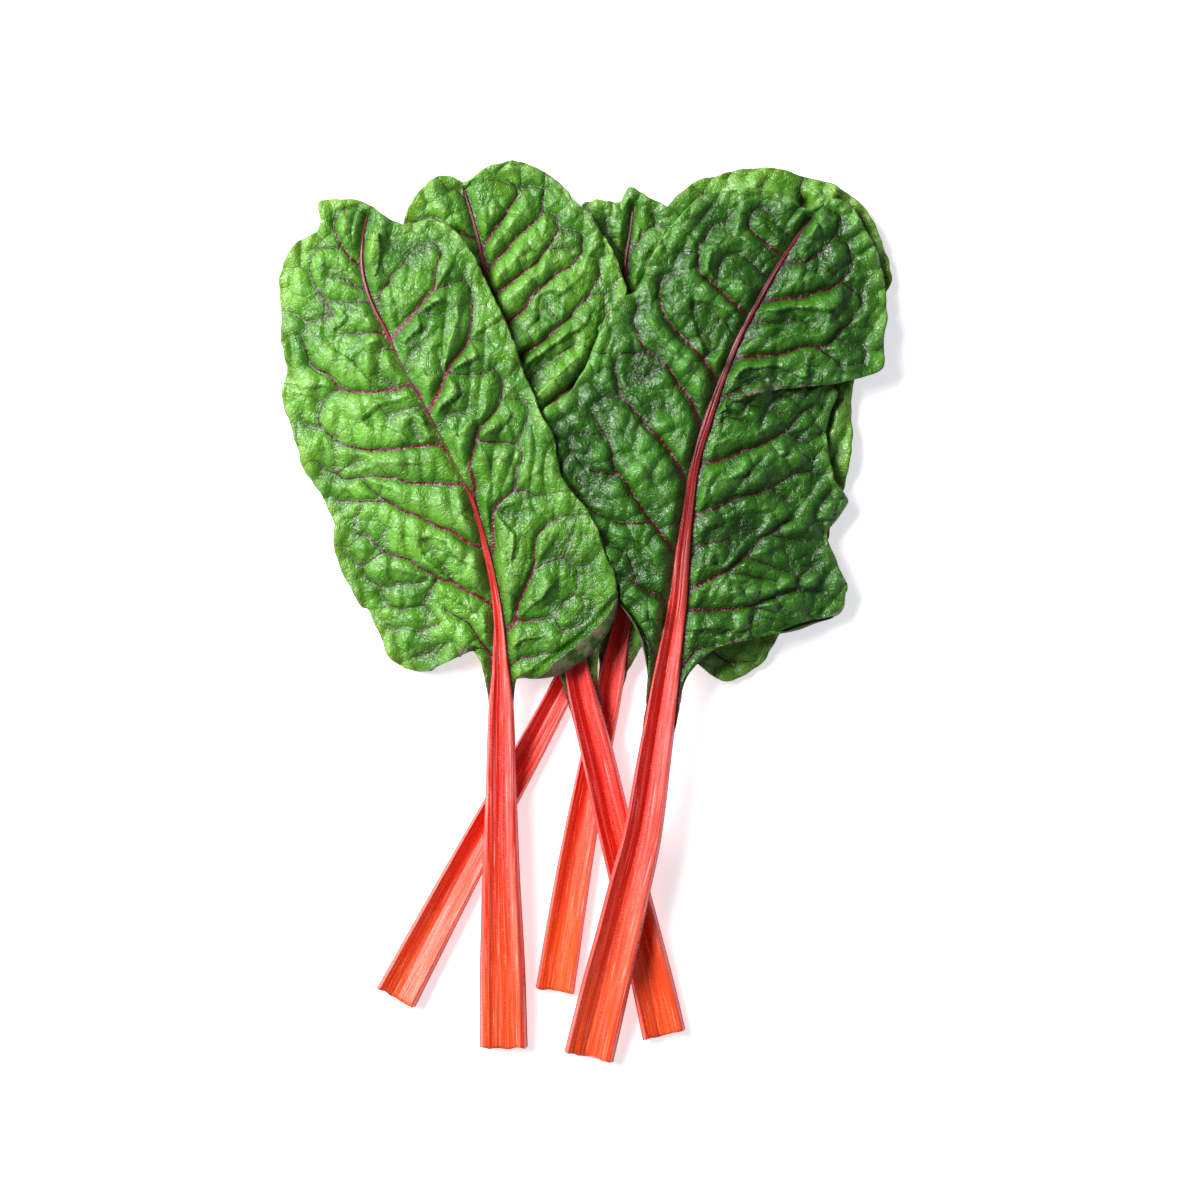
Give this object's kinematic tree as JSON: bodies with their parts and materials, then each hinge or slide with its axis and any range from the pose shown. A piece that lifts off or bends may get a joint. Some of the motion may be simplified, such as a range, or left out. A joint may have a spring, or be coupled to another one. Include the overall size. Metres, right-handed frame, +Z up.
{
  "type": "swiss chard bunch",
  "caption": "Loose fan of red-stalked Swiss chard leaves lying flat, their channelled stalks crossing and their broad puckered green blades overlapping.",
  "frame": {"origin": "on the table, under the middle of the bunch's bounding box", "axes": "+Z up from the table, +Y from the cut feet of the stalks towards the leaf tips, +X to the right as seen from above with the tips away from the viewer"},
  "size_m": [0.275, 0.4034, 0.0227],
  "materials": {
    "stalk": "satin",
    "blade": "satin"
  },
  "bodies": {
    "root": {"stalk_back_right": "stalk", "blade_back_right": "blade", "stalk_back_middle": "stalk", "blade_back_middle": "blade", "stalk_back_left": "stalk", "blade_back_left": "blade", "stalk_front_right": "stalk", "blade_front_right": "blade", "stalk_front_left": "stalk", "blade_front_left": "blade"}
  },
  "joints": []
}
